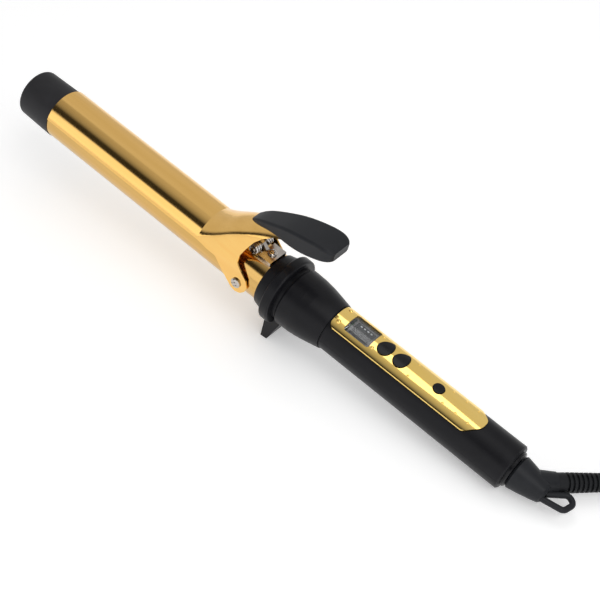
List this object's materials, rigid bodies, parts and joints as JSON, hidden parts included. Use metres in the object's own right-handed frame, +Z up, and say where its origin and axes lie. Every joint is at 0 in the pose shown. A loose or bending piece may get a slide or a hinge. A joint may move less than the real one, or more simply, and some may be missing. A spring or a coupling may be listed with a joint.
{
  "type": "curling iron",
  "caption": "Electric hair curling iron with a gold barrel, a sprung clamp with a thumb lever, a stand foot, a control panel with a display and a swivelling mains cord.",
  "frame": {"origin": "on the floor under the middle of the iron's box, measured without the cord", "axes": "+X along the iron towards the cord end, in the floor plane; +Z up; +Y to the left seen from the cord end looking to the tip"},
  "size_m": [0.5744, 0.1139, 0.0914],
  "materials": {
    "black_plastic": "soft satin",
    "gold_metal": "polished gold plating",
    "gold_panel": "bright gold plating",
    "steel": "satin",
    "nickel": "bright nickel",
    "aluminium": "mill",
    "ceramic_white": "matt",
    "wire_insulation": "woven sleeve",
    "inner_plastic": "matt",
    "window": "clear tinted",
    "lcd": "gloss",
    "board_green": "solder mask",
    "switch_black": "matt",
    "button_black": "soft satin",
    "copper": "bright",
    "carbon": "matt",
    "cord_rubber": "satin",
    "tie_strap": "woven",
    "plug_plastic": "satin"
  },
  "bodies": {
    "handle": {"tip_cap": "black_plastic", "barrel_tube": "gold_metal", "heater_shoe_upper": "aluminium", "heater_shoe_lower": "aluminium", "heating_element": "ceramic_white", "thermistor": "ceramic_white", "thermal_fuse": "aluminium", "heater_leads": "wire_insulation", "barrel_bush": "inner_plastic", "pivot_spacers": "nickel", "pivot_screws": "nickel", "spring_bracket": "nickel", "bracket_screw": "nickel", "spring_pin": "nickel", "clamp_spring": "steel", "collar_nose": "black_plastic", "stand_ring": "black_plastic", "handle_cone": "black_plastic", "handle_upper_shell": "black_plastic", "handle_lower_shell": "black_plastic", "handle_screws": "steel", "control_panel": "gold_panel", "display_lens": "window", "lcd_module": "lcd", "circuit_board": "board_green", "tact_switches": "switch_black", "board_screws": "steel", "swivel_bush": "inner_plastic", "brush_carrier": "inner_plastic", "contact_brushes": "carbon", "mains_leads": "wire_insulation", "cord_lead": "cord_rubber", "cord_coil": "cord_rubber", "coil_tie": "tie_strap", "cord_tail": "cord_rubber", "plug_body": "plug_plastic", "plug_blades": "nickel"},
    "clamp": {"clamp_plate": "gold_metal", "thumb_lever": "black_plastic", "lever_screw": "nickel"},
    "plus_button": {"plus_button": "button_black"},
    "minus_button": {"minus_button": "button_black"},
    "power_button": {"power_button": "button_black"},
    "swivel": {"swivel_boot": "black_plastic", "retaining_ring": "steel", "slip_rings": "copper", "hang_loop": "black_plastic", "strain_relief": "cord_rubber"}
  },
  "joints": [
    {"name": "clamp_hinge", "type": "hinge", "parent": "handle", "child": "clamp", "pos_m": [-0.01867, 0, 0.03512], "axis": [0, 1, 0], "range_deg": [0, 26], "stiffness_Nm_per_rad": 0.3, "springref_deg": -45.84, "deforming": ["clamp_spring"]},
    {"name": "plus_press", "type": "slide", "parent": "handle", "child": "plus_button", "axis": [-0.1231, 0, -0.9924], "range_m": [0, 0.0008], "stiffness_N_per_m": 400},
    {"name": "minus_press", "type": "slide", "parent": "handle", "child": "minus_button", "axis": [-0.1231, 0, -0.9924], "range_m": [0, 0.0008], "stiffness_N_per_m": 400},
    {"name": "power_press", "type": "slide", "parent": "handle", "child": "power_button", "axis": [-0.1231, 0, -0.9924], "range_m": [0, 0.0008], "stiffness_N_per_m": 400},
    {"name": "cord_swivel", "type": "hinge", "parent": "handle", "child": "swivel", "pos_m": [0.17464, 0, 0.01346], "axis": [0.9924, 0, -0.1231], "continuous": true, "deforming": ["cord_lead"]}
  ]
}
